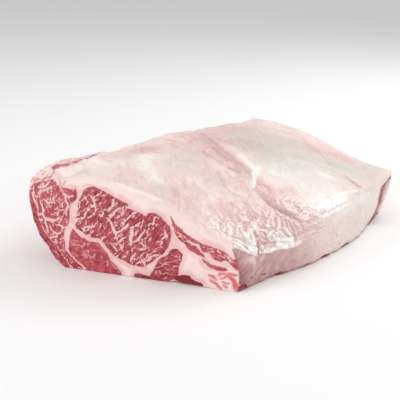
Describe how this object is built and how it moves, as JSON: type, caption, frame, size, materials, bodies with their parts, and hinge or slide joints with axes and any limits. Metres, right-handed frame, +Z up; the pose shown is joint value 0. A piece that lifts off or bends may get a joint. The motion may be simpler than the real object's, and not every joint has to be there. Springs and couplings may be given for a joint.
{
  "type": "raw beef rib roast",
  "caption": "Raw boneless beef rib roast: one uneven block of marbled meat with a fat cap, cut across at both ends and lying on its rib side.",
  "frame": {"origin": "middle of the footprint's box, on the floor that the roast lies on", "axes": "+Y along the roast from the near cut face to the far one, +X across it towards the thin rib side, +Z up"},
  "size_m": [0.2834, 0.382, 0.102],
  "materials": {
    "meat": "moist raw meat: pale cream and pink fat with a silvery wet membrane on the back, and red marbled lean on the cut faces"
  },
  "bodies": {
    "root": {"roast": "meat"}
  },
  "joints": []
}
